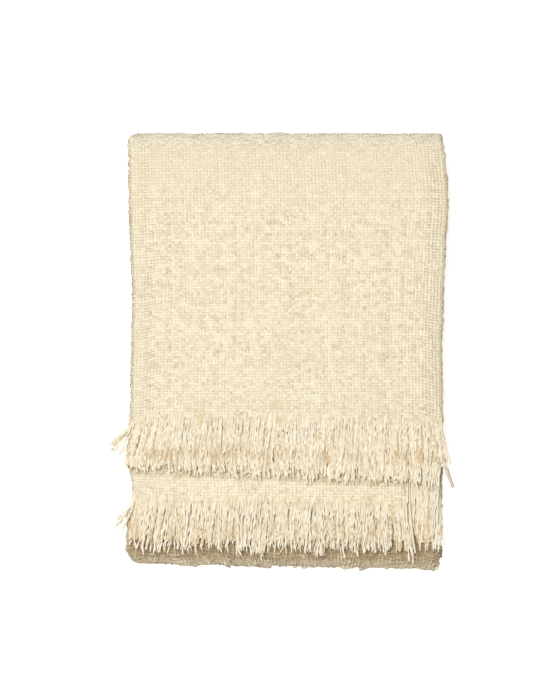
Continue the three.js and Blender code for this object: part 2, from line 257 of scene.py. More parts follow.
def side_draw(y, column):
    """How far a side is drawn in at y, eased from row to row of its table."""
    rows = SIDE_DRAW[:, 0]
    y = np.clip(y, rows[0], rows[-1])
    after = np.clip(np.searchsorted(rows, y), 1, len(rows) - 1)
    low = SIDE_DRAW[after - 1, column]
    high = SIDE_DRAW[after, column]
    return low + (high - low) * smooth(y, rows[after - 1], rows[after])


def sink(points):
    """Takes points of the evenly folded cloth to where the front folds sink under their own weight."""
    share = smooth(-points[..., 1], FRONT_DROP_FROM, FOLDED_LENGTH / 2)
    sunk = points.copy()
    sunk[..., 2] = points[..., 2] * (1 - FRONT_DROP / STACK_HEIGHT * share)
    return sunk


def lie(points):
    """Takes points of the evenly folded throw to where they lie."""
    x, y, z = np.moveaxis(points, -1, 0)
    height = z / STACK_HEIGHT
    across = (x - LEFT_EDGE) / FOLDED_WIDTH
    radius = np.where(y < 0, FRONT_CORNER_RADIUS, BACK_CORNER_RADIUS)
    past = np.clip((np.abs(y) - FOLDED_LENGTH / 2 + radius) / radius, 0, 1)
    corner = radius * (1 - np.sqrt(1 - past ** 2))
    left = side_draw(y, 1) + corner
    right = -side_draw(y, 2) - corner
    shift = BAND_SHIFT * height * np.sin(2 * math.pi * z / (BANDS_PER_SHIFT * BAND_PITCH))
    slant = -FRONT_SLANT * x * smooth(-y, 0, FOLDED_LENGTH / 2)
    lift = -SIDE_SLUMP * np.minimum(np.abs(2 * across - 1), 1) ** SLUMP_POWER
    for rise, length_x, length_y, phase in SURFACE_WAVES:
        lift = lift + rise * np.sin(2 * math.pi * (x / length_x + y / length_y) + phase)
    return np.stack([x + left + (right - left) * across + shift, y + slant, z + height * lift], -1)


# The cloth's middle line across its width


def overhang_at(overhangs, layer, x):
    """How far a layer ends past its band's end at x."""
    left, right = overhangs[layer]
    return left + (right - left) * (x - LEFT_EDGE) / FOLDED_WIDTH


def width_run(layer, start, end):
    """A straight stretch of one layer. start and end are (x, the layer that it is folded to there)."""
    heading = math.copysign(1, end[0] - start[0])

    def at(share):
        x = start[0] + (end[0] - start[0]) * share
        at_start = share < 0.5
        distance = np.where(at_start, np.abs(x - start[0]), np.abs(x - end[0]))
        level = (1 - smooth(distance, 0, FOLD_EASE)) / 2

        def eased(overhangs):
            own = overhang_at(overhangs, layer, x)
            at_fold = [overhang_at(overhangs, partner, x) for _, partner in (start, end)]
            return own + (np.where(at_start, *at_fold) - own) * level

        flat = np.zeros_like(x)
        w = flat + layer_height(layer)
        return np.stack([x, w, flat, flat + heading, eased(UPPER_OVERHANG), eased(LOWER_OVERHANG)])

    return {"length": abs(end[0] - start[0]), "at": at}


def width_turn(side, centre_x, first, second):
    """A fold from one layer to another at the left (-1) or right (1) side."""
    centre_w = (layer_height(first) + layer_height(second)) / 2
    rise = (layer_height(second) - layer_height(first)) / 2
    way = math.copysign(1, rise)
    outward = -side * way

    def at(share):
        x = side * np.sin(math.pi * share)
        w = -way * np.cos(math.pi * share)
        flat = np.zeros_like(x)
        ends = [
            flat + np.mean([overhang_at(overhangs, layer, centre_x) for layer in (first, second)])
            for overhangs in (UPPER_OVERHANG, LOWER_OVERHANG)
        ]
        place = [centre_x + abs(rise) * x, centre_w + abs(rise) * w, outward * x, outward * w]
        return np.stack([*place, *ends])

    return {"length": math.pi * abs(rise), "at": at}


WIDTH_PARTS = {
    "inner": width_run(0, (RIGHT_EDGE - INNER_SELVAGE_INSET, 0), (LEFT_CENTRE, 3)),
    "left_fold": width_turn(-1, LEFT_CENTRE, 0, 3),
    "outer": width_run(3, (LEFT_CENTRE, 0), (RIGHT_CENTRE, 2)),
    "right_fold": width_turn(1, RIGHT_CENTRE, 3, 2),
    "upper_middle": width_run(2, (RIGHT_CENTRE, 3), (HIDDEN_CENTRE, 1)),
    "hidden_fold": width_turn(-1, HIDDEN_CENTRE, 2, 1),
    "lower_middle": width_run(1, (HIDDEN_CENTRE, 2), (RIGHT_EDGE - OUTER_SELVAGE_INSET, 1)),
}
WIDTH_STARTS = dict(zip(WIDTH_PARTS, np.cumsum([0] + [p["length"] for p in WIDTH_PARTS.values()])))
WIDTH_TOTAL = sum(p["length"] for p in WIDTH_PARTS.values())
X, W, NORMAL_X, NORMAL_W, UPPER, LOWER = range(6)


def width_place(s):
    """Rows X to LOWER at distances s across the cloth, from the inner selvage to the outer one."""
    s = np.clip(np.asarray(s, float), 0, WIDTH_TOTAL)
    found = np.zeros((LOWER + 1, len(s)))
    for name, part in WIDTH_PARTS.items():
        share = (s - WIDTH_STARTS[name]) / part["length"]
        inside = (share >= 0) & (share <= 1)
        found[:, inside] = part["at"](share[inside])
    return found


# The cloth's path along its length


def upper_end(place):
    return UPPER_FLAP_END - place[UPPER]


def lower_end(place):
    return LOWER_FLAP_END - place[LOWER]


def at_back(place):
    return np.full_like(place[X], BACK_TURN_Y)


def at_front(place):
    return np.full_like(place[X], FRONT_TURN_Y)


def length_run(band, facing, start, end):
    """A straight stretch of one band. Its length is taken at the middle of the outer layer."""

    def at(share, place, lift):
        y = start(place) + (end(place) - start(place)) * share[:, None]
        x = np.broadcast_to(place[X] + lift * place[NORMAL_X], y.shape)
        z = np.broadcast_to(band_height(band) + facing * (place[W] + lift * place[NORMAL_W]), y.shape)
        return np.stack([x, y, z], -1)

    def length(_):
        middle = width_place([WIDTH_STARTS["outer"] + WIDTH_PARTS["outer"]["length"] / 2])
        return float(abs(end(middle) - start(middle))[0])

    return {"at": at, "length": length}


def length_turn(side, first, second, facing):
    """A turn from one band to another at the front (-1) or back (1). Its length goes by the layer's w."""
    centre_y = FRONT_TURN_Y if side < 0 else BACK_TURN_Y
    centre_z = (band_height(first) + band_height(second)) / 2
    rise = (band_height(second) - band_height(first)) / 2
    way = math.copysign(1, rise)
    outward = -facing * way

    def at(share, place, lift):
        angle = math.pi * share[:, None]
        radius = abs(rise) + outward * (place[W] + lift * place[NORMAL_W])
        y = centre_y + side * radius * np.sin(angle)
        z = centre_z - way * radius * np.cos(angle)
        x = np.broadcast_to(place[X] + lift * place[NORMAL_X], y.shape)
        return np.stack([x, y, z], -1)

    def length(w):
        return math.pi * (abs(rise) + outward * w)

    return {"at": at, "length": length}


LENGTH_PARTS = {
    "upper_flap": length_run(3, 1, upper_end, at_back),
    "back_turn": length_turn(1, 3, 0, 1),
    "bottom": length_run(0, -1, at_back, at_front),
    "front_turn": length_turn(-1, 0, 1, -1),
    "second": length_run(1, 1, at_front, at_back),
    "inner_turn": length_turn(1, 1, 2, 1),
    "lower_flap": length_run(2, -1, at_back, lower_end),
}


def sheet_points(stretches, s, lift):
    """Points where the lines across at s meet the stations of each (part, shares) stretch."""
    place = width_place(s)
    laid_out = [LENGTH_PARTS[part]["at"](shares, place, lift) for part, shares in stretches]
    return lie(sink(np.concatenate(laid_out)))


def grid(stretches, s):
    """Points and normals of the cloth's middle at s across and at the stations of each stretch."""
    middle = sheet_points(stretches, s, 0)
    return middle, unit(sheet_points(stretches, s, 1) - middle)


# Meshes

CELL_ASPECT = 6
CELL_MARGIN = 0.03


def mesh_object(name, points, faces, uv, tones):
    """A mesh of four-sided faces with smooth shading, a map and a tone at each point."""
    mesh = bpy.data.meshes.new(name)
    mesh.vertices.add(len(points))
    mesh.vertices.foreach_set("co", (points * MM).astype(np.float32).ravel())
    mesh.loops.add(faces.size)
    mesh.loops.foreach_set("vertex_index", faces.astype(np.int32).ravel())
    mesh.polygons.add(len(faces))
    mesh.polygons.foreach_set("loop_start", np.arange(0, faces.size, 4, dtype=np.int32))
    mesh.polygons.foreach_set("use_smooth", np.ones(len(faces), bool))
    mesh.attributes.new("tone", "FLOAT", "POINT").data.foreach_set("value", tones.astype(np.float32))
    if uv is not None:
        layer = mesh.uv_layers.new(name="OFBake")
        layer.data.foreach_set("uv", uv.astype(np.float32).ravel())
    mesh.update(calc_edges=True)
    mesh.validate()
    made = bpy.data.objects.new(name, mesh)
    bpy.context.scene.collection.objects.link(made)
    return made


def strip_uv(count, bays, sides):
    """Each tube's faces as strips of one cell, the cells side by side: tubes by bays by sides."""
    columns = max(1, round(math.sqrt(count * CELL_ASPECT / bays)))
    rows = math.ceil(count / columns)
    cell = np.stack(np.meshgrid(np.arange(columns), np.arange(rows), indexing="ij"), -1)
    cell = cell.transpose(1, 0, 2).reshape(-1, 2)[:count]
    bay, side = np.meshgrid(np.arange(bays), np.arange(sides), indexing="ij")
    corner = np.array([(0, 1), (0, 0), (1, 0), (1, 1)])
    local = (np.stack([bay, side], -1).reshape(-1, 1, 2) + corner) / (bays, sides)
    return (cell[:, None, None] + CELL_MARGIN + (1 - 2 * CELL_MARGIN) * local) / (columns, rows)


def tubes(paths, radii, ups, tones, section, height, foot_shade, ring=False):
    """Points, faces, map and tones of tubes along paths[tube, node]. Their foot is deeper in tone, as painted
    shade.
    """
    count, nodes = paths.shape[:2]
    size = len(section)
    sides = size - 1
    bays = nodes if ring else nodes - 1
    chords = np.roll(paths, -1, 1) - np.roll(paths, 1, 1) if ring else np.gradient(paths, axis=1)
    along = unit(chords)
    across = unit(np.cross(along, ups))
    up = np.cross(across, along)
    reach = section[:, 0, None] * across[:, :, None] + height * section[:, 1, None] * up[:, :, None]
    points = paths[:, :, None] + radii[:, :, None, None] * reach
    tube, bay, side = np.meshgrid(np.arange(count), np.arange(bays), np.arange(sides), indexing="ij")
    first = (tube * nodes + bay) * size + side
    second = (tube * nodes + (bay + 1) % nodes) * size + side
    faces = np.stack([first + 1, first, second, second + 1], -1)
    uv = strip_uv(count, bays, sides)
    # Painted shade: each tube is deeper towards its foot
    tones = tones[:, :, None] + foot_shade * (section[:, 1] - 1)
    return points.reshape(-1, 3), faces.reshape(-1, 4), uv.reshape(-1, 2), tones.ravel()


def joined(parts):
    """Several (points, faces, map, tones) as one, with their maps side by side."""
    starts = np.cumsum([0] + [len(p[0]) for p in parts])
    points = np.concatenate([p[0] for p in parts])
    faces = np.concatenate([p[1] + start for p, start in zip(parts, starts)])
    weights = np.array([len(p[1]) for p in parts], float)
    edges = np.concatenate([[0], np.cumsum(weights / weights.sum())])
    uv = np.concatenate([
        p[2] * (1, high - low) + (0, low) for p, low, high in zip(parts, edges[:-1], edges[1:])
    ])
    return points, faces, uv, np.concatenate([p[3] for p in parts])


# The woven yarns


def soft_noise(shape, cells):
    """A field of about unit spread, smooth over a number of cells each way."""
    coarse = rng.normal(size=(shape[0] // cells + 3, shape[1] // cells + 3))
    for axis in (0, 1):
        at = np.arange(shape[axis]) / cells + 0.5
        low = at.astype(int)
        share = smooth(at - low, 0, 1)
        share = share[:, None] if axis == 0 else share[None]
        coarse = np.take(coarse, low, axis) * (1 - share) + np.take(coarse, low + 1, axis) * share
    return coarse


def stations(part, low, high, w):
    """Shares of a part from low to high, half a weft pitch apart on the layer at w."""
    count = max(LEAST_STATIONS, round(LENGTH_PARTS[part]["length"](w) * (high - low) / WEFT_PITCH * 2))
    return low + (high - low) * (np.arange(count) + 0.5) / count


def ends_across(low, high, pitch=WARP_PITCH / 2):
    """Places across the cloth from low to high, a pitch apart."""
    count = max(LEAST_STATIONS, round((high - low) / pitch))
    return low + (high - low) * (np.arange(count) + 0.5) / count


def crossings(shape, floats):
    """1 where a warp passes over a weft and -1 where it passes under: a plain weave with some floats."""
    row, column = np.indices(shape)
    plain = np.where((row // 2 + column // 2) % 2, -1.0, 1.0)
    return np.where(rng.random(shape) < floats, -plain, plain)


def nubs(shape):
    """How far the yarn stands out in a nub at each crossing."""
    single = rng.normal(size=(shape[0] // 2 + 1, shape[1] // 2 + 1))
    single = np.repeat(np.repeat(single, 2, 0), 2, 1)[:shape[0], :shape[1]]
    stands = NUB_OWN * single + NUB_SHARED * soft_noise(shape, NUB_CELLS)
    return stands.clip(-NOISE_LIMIT, NOISE_LIMIT)


def between(over, axis):
    """The crossings, with the nodes halfway along an axis made the mean of those beside them."""
    waved = np.moveaxis(over.copy(), axis, 0)
    crossed = waved[::2]
    after = np.concatenate([crossed[1:], crossed[-1:]])
    waved[1::2] = ((crossed + after) / 2)[:len(waved) // 2]
    return np.moveaxis(waved, 0, axis)


def calmness(points, flat):
    """The share of the weave's contrast that is left near the back fold and the sides, where it lies flat."""
    x, y, _ = np.moveaxis(points, -1, 0)
    back = smooth(y, BACK_TURN_Y - CALM_REACH, BACK_TURN_Y)
    to_side = np.minimum(RIGHT_EDGE - x, x - LEFT_EDGE)
    beside = 1 - smooth(to_side, 0, CALM_SIDE_REACH)
    return 1 - CALM_SHARE * flat * np.maximum(flat * back, beside)


def weave(
    stretches,
    s,
    side=1,
    lumps=RELIEF,
    floats=FLOAT_SHARE,
    tone=BASE_TONE,
    rim_light=RIM_LIGHT_TONE,
    contrast=1.0,
    section=YARN_SECTION,
):
    """The warp and the weft on one side of a patch, as tubes, and the patch's points and normals.

    A yarn has a node where it crosses each other yarn and one halfway between.
    """
    points, normals = grid(stretches, s)
    normals = side * normals
    shape = points.shape[:2]
    over = crossings(shape, floats)
    flat = np.abs(normals[..., 2])
    slope = 1 - flat
    shown_contrast = contrast * calmness(points, flat)
    nub = nubs(shape)
    lumps = np.maximum(lumps, LUMPY_RELIEF * slope)
    relief = lumps * RELIEF_SHARE * (soft_noise(shape, LUMP_CELLS) + soft_noise(shape, FINE_LUMP_CELLS))
    relief = np.maximum(relief, -LOWEST_RELIEF)
    # Painted light: paler where the weave slopes and where its lumps stand higher
    tone = tone + rim_light * slope + LUMP_LIGHT_TONE * relief
    relief = relief + NUB_RISE * nub
    fullness = 1 + FULLNESS_SPREAD * soft_noise(shape, FULLNESS_CELLS) + NUB_SWELL * nub
    # The drift is a random tone with painted light on the nubs
    drift_and_nub_light = DRIFT_TONE * soft_noise(shape, DRIFT_CELLS) + NUB_LIGHT_TONE * nub
    along = unit(np.gradient(points, axis=0))
    across = unit(np.gradient(points, axis=1))

    def laid(wave, sideways, reach):
        rise = YARN_SEAT + wave + relief + RISE_SPREAD * rng.normal(size=shape)
        wander = soft_noise(shape, WANDER_CELLS) + FINE_WANDER * soft_noise(shape, FINE_WANDER_CELLS)
        path = points + normals * rise[..., None] + sideways * reach * wander[..., None]
        path[..., 2] = np.maximum(path[..., 2], FLOOR_SEAT)
        return path

    warp_wave = between(over, 0)
    weft_wave = -between(over, 1)
    warp = laid(WARP_RISE * warp_wave, across, WARP_WANDER)
    weft = laid(WEFT_RISE * weft_wave, along, WEFT_WANDER)
    warp_radii = WARP_RADIUS * fullness * (1 + WARP_SPREAD * spread(shape))
    slubs = soft_noise(shape, SLUB_CELLS) + SLUB_ROUGHNESS * rng.normal(size=shape)
    weft_radii = WEFT_RADIUS * fullness * (1 + WEFT_SPREAD * slubs.clip(*WEFT_LIMITS))
    specks_and_nub_light = drift_and_nub_light + SPECKLE_TONE * rng.normal(size=shape)
    warp_streaks = STREAK_TONE * rng.normal(size=(1, shape[1]))
    weft_streaks = STREAK_TONE * rng.normal(size=(shape[0], 1))
    # Painted light and shade along each yarn, with random specks and streaks
    warp_tones = tone + shown_contrast * (WAVE_SHADE_TONE * warp_wave + specks_and_nub_light + warp_streaks)
    weft_tones = tone + shown_contrast * (WAVE_SHADE_TONE * weft_wave + specks_and_nub_light + weft_streaks)
    warps = np.s_[:, ::2]
    wefts = np.s_[::2]
    swapped = (1, 0, 2)
    return (
        tubes(
            warp[warps].transpose(swapped),
            warp_radii[warps].T,
            normals[warps].transpose(swapped),
            warp_tones[warps].T,
            section,
            YARN_HEIGHT,
            WARP_FOOT_SHADE * contrast,
        ),
        tubes(
            weft[wefts],
            weft_radii[wefts],
            normals[wefts],
            weft_tones[wefts],
            section,
            YARN_HEIGHT,
            WEFT_FOOT_SHADE * contrast,
        ),
        (points, normals),
    )


# The patches of the weave that show, with how far each runs on past the folds beside it
OUTER_W = layer_height(LAYER_COUNT - 1) + CLOTH_THICKNESS / 2
LEFT_OVERLAP = 2.0
RIGHT_OVERLAP = 1.0
SIDE_OVERLAP = 3.0
LEFT_FOLD_START = WIDTH_STARTS["left_fold"]
LEFT_FOLD_END = WIDTH_STARTS["outer"]
RIGHT_FOLD_START = WIDTH_STARTS["right_fold"]
RIGHT_FOLD_END = WIDTH_STARTS["upper_middle"]
SECOND_LENGTH = 78.0
BOTTOM_LENGTH = 8.0
LOWER_LENGTH = 75.0
END_LENGTH = 22.0
BARED_OVERLAP = 8.0
BARED_WIDTH = INNER_SELVAGE_INSET + BARED_OVERLAP
RUN_LENGTH = BACK_TURN_Y - FRONT_TURN_Y
SHOWN_SECOND = SECOND_LENGTH / RUN_LENGTH
SHOWN_BOTTOM = 1 - BOTTOM_LENGTH / RUN_LENGTH
SHOWN_LOWER = 1 - LOWER_LENGTH / (BACK_TURN_Y - LOWER_FLAP_END)
SHOWN_END = END_LENGTH / (BACK_TURN_Y - UPPER_FLAP_END)
outer_ends = ends_across(LEFT_FOLD_START - LEFT_OVERLAP, RIGHT_FOLD_END + RIGHT_OVERLAP)
inner_ends = ends_across(0, LEFT_FOLD_END + LEFT_OVERLAP)
left_ends = ends_across(LEFT_FOLD_START - SIDE_OVERLAP, LEFT_FOLD_END + SIDE_OVERLAP)
right_ends = ends_across(RIGHT_FOLD_START - SIDE_OVERLAP, RIGHT_FOLD_END + RIGHT_OVERLAP)

top_warp, top_weft, top_patch = weave(
    [
        ("upper_flap", stations("upper_flap", 0, 1, OUTER_W)),
        ("back_turn", stations("back_turn", 0, 1, OUTER_W)),
    ],
    outer_ends,
    section=TOP_YARN_SECTION,
)
# The front fold, deeper in tone as painted shade, with painted light on its sloping rim
front_warp, front_weft, front_patch = weave(
    [
        ("bottom", stations("bottom", SHOWN_BOTTOM, 1, OUTER_W)),
        ("front_turn", stations("front_turn", 0, 1, OUTER_W)),
        ("second", stations("second", 0, SHOWN_SECOND, OUTER_W)),
    ],
    outer_ends,
    lumps=FRONT_RELIEF,
    floats=FRONT_FLOAT_SHARE,
    tone=FRONT_SHADE_TONE,
    rim_light=FRONT_RIM_LIGHT_TONE,
    contrast=FRONT_CONTRAST,
)

# Painted light makes the flap paler than the rest of the cloth, and painted shadow makes it deeper in tone in
# the hollow under the tips of the upper fringe
lower_stretch = [("lower_flap", stations("lower_flap", SHOWN_LOWER, 1, -OUTER_W))]
flap_x, flap_y, _ = np.moveaxis(sheet_points(lower_stretch, inner_ends, 0), -1, 0)
tips = UPPER_FLAP_END - UPPER_FRINGE["length"] - overhang_at(UPPER_OVERHANG, 0, flap_x)
fringe_shadow = smooth(flap_y, tips - FRINGE_SHADOW_REACH, tips)
flap_light_and_shadow = FLAP_LIGHT_TONE - FRINGE_SHADOW_TONE * fringe_shadow
lower_warp, lower_weft, lower_patch = weave(lower_stretch, inner_ends, tone=flap_light_and_shadow)

# The ends of the layers that show under the fringe of the layer above them, each on the side that faces up
end_parts = []
for part, low, high, start, end, side in (
    ("upper_flap", 0, SHOWN_END, RIGHT_FOLD_END, WIDTH_STARTS["hidden_fold"], -1),
    ("upper_flap", 0, SHOWN_END, WIDTH_STARTS["lower_middle"], WIDTH_TOTAL, 1),
    ("upper_flap", 0, SHOWN_END, 0, LEFT_FOLD_START, -1),
    ("lower_flap", SHOWN_LOWER, 1, WIDTH_TOTAL - BARED_WIDTH, WIDTH_TOTAL, -1),
    ("lower_flap", SHOWN_LOWER, 1, RIGHT_FOLD_END, RIGHT_FOLD_END + BARED_WIDTH, 1),
):
    warp, weft, _ = weave([(part, stations(part, low, high, 0))], ends_across(start, end), side)
    end_parts += [warp, weft]

# The folds at both sides
side_parts = []
side_patches = []
for part, low, high in (
    ("bottom", 0, SHOWN_BOTTOM),
    ("second", SHOWN_SECOND, 1),
    ("inner_turn", 0, 1),
    ("lower_flap", 0, SHOWN_LOWER),
):
    for ends in (left_ends, right_ends):
        warp, weft, patch = weave([(part, stations(part, low, high, 0))], ends, lumps=SIDE_RELIEF)
        side_parts += [warp, weft]
        side_patches.append(patch)

# The right fold of the lower flap runs on to its end
warp, weft, _ = weave([("lower_flap", stations("lower_flap", SHOWN_LOWER, 1, 0))], right_ends)
side_parts += [warp, weft]


# The loops that stand proud of the weave

FLOOR_GAP = 0.1
LOOP_NODES = 6
LOOP_REACH = 1.0
LOOP_SIZE_SPREAD = 0.25
LOOP_ROUGHNESS = 0.22
LOOP_REACH_LIMITS = (0.6, 2.2)
LOOP_RADIUS = 0.5
LOOP_RADIUS_SPREAD = 0.2
LOOP_RADIUS_LIMITS = (0.6, 1.5)
LOOP_SEAT = 1.25
LOOP_SEAT_SPREAD = 0.3
LOOP_PLACE_SPREAD = 0.5
LOOP_TILT = 0.55
# Painted light: the loops are pale; painted shade makes their foot deeper and those on the front fold deeper
# still
LOOP_LIGHT_TONE = 0.8
LOOP_TONE_SPREAD = 0.1
LOOP_FOOT_SHADE = 0.1
FRONT_LOOP_SHADE_TONE = 0.25

# Loops for each node of a patch
TOP_LOOPS = 0.012
FRONT_LOOPS = 0.03
FLAP_LOOPS = 0.012
SIDE_LOOPS = 0.05


def loops(patch, per_node, tone=LOOP_LIGHT_TONE):
    """Rings of yarn, rough and tilted, set at random on a patch."""
    points, normals = patch
    rows, columns = points.shape[:2]
    count = int(rows * columns * per_node)
    i = rng.integers(0, rows, count)
    j = rng.integers(0, columns, count)
    normal = normals[i, j]
    axis = unit(normal + LOOP_TILT * rng.normal(size=(count, 3)))
    first = unit(np.cross(axis, rng.normal(size=(count, 3))))
    second = np.cross(axis, first)
    seat = LOOP_SEAT + LOOP_SEAT_SPREAD * rng.normal(size=(count, 1))
    centre = points[i, j] + normal * seat + LOOP_PLACE_SPREAD * rng.normal(size=(count, 3))
    angle = 2 * math.pi * np.arange(LOOP_NODES) / LOOP_NODES
    size = LOOP_REACH * (1 + LOOP_SIZE_SPREAD * rng.normal(size=(count, 1)))
    reach = size * (1 + LOOP_ROUGHNESS * rng.normal(size=(count, LOOP_NODES)))
    reach = reach.clip(*LOOP_REACH_LIMITS)[..., None]
    paths = centre[:, None] + reach * (
        np.cos(angle)[:, None] * first[:, None] + np.sin(angle)[:, None] * second[:, None]
    )
    fullness = 1 + LOOP_RADIUS_SPREAD * rng.normal(size=(count, LOOP_NODES))
    radii = LOOP_RADIUS * fullness.clip(*LOOP_RADIUS_LIMITS)
    paths[..., 2] = np.maximum(paths[..., 2], FLOOR_GAP + radii)
    ups = np.broadcast_to(axis[:, None], paths.shape)
    tones = tone + LOOP_TONE_SPREAD * rng.normal(size=radii.shape)
    return tubes(paths, radii, ups, tones, LOOP_SECTION, LOOP_HEIGHT, LOOP_FOOT_SHADE, ring=True)


# The fringes: where their threads start and how long and thick they are
THREAD_PITCH = WARP_PITCH * 0.33
THREAD_INSET = 0.5
PLACE_SPREAD = 0.3
PLACE_LIMIT = 1.5
THREAD_NODES = 18
THREAD_TIP = 0.97
THREAD_ROOT = 4.0
ROOT_RANGE = (0.5, 2.2)
OWN_RAGGED = 0.6
LEFT_SPLAY_SHORTER = 0.3
OUTER_LONGER_REACH = 60.0
THREAD_RADIUS = 0.84
THREAD_HEIGHT = 0.5
RADIUS_SPREAD = 0.36
RADIUS_LIMITS = (-1.6, 2.0)
SIZE_SPREAD = 0.15
RAISED_SHARE = 0.4
RAISED_SIZE = 0.75
BED_SIZE = 1.3
TIP_SIZE = 0.3

# How the threads lean, bend and lie on each other
CLUMP = 9
CLUMP_LEAN = math.radians(1.7)
CLUMP_FAN = math.radians(0.28)
OWN_LEAN = math.radians(2.4)
COMB = 0.75
SELVAGE_LEAN = math.radians(11)
SELVAGE_LEAN_REACH = 32.0
LEFT_SPLAY = math.radians(44)
LEFT_SPLAY_REACH = 4.0
LEFT_LEAN = math.radians(11)
LEFT_LEAN_AT = 16.0
RIGHT_SPLAY_REACH = 34.0
SPLAY_TURN = 15.0
BUNCH = 0.15
BUNCH_FROM = 8.0
TIP_BEND = 1.4
WAVE_RANGE = (2, 6)
CRINKLE_FULL_AT = 14.0
RANK_FALL = 2.0
LAST_FALL = -1.4
FALL_REACH = 38.0
SIDE_SAG = 0.25
THREAD_LIFT = 1.0
LIFT_RANGE = (0.5, 1.5)
THREAD_LOFT = 0.3
RAISED_LOFT = 0.7
RAISED_FROM = 6.0

# The tones of the threads. Painted light makes the raised ones paler; painted shade makes the bed deeper
# towards its tips, the threads under the top tier deeper, and each thread's foot deeper.
THREAD_TONE = 0.54
THREAD_TONE_SPREAD = 0.1
THREAD_FOOT_SHADE = 0.15
RAISED_LIGHT_TONE = 0.24
ROOT_TONE = 0.28
RAISED_ROOT_TONE = 0.15
ROOT_TONE_REACH = 12.0
SHADE_REACH = 13.0
SHADE_UNEVEN = 4.0
TUFT_LIGHT_TONE = 0.35
SLUB_TONE = 0.25
SLUB_AT_ROOT = 0.4
SLUB_FULL_AT = 15.0


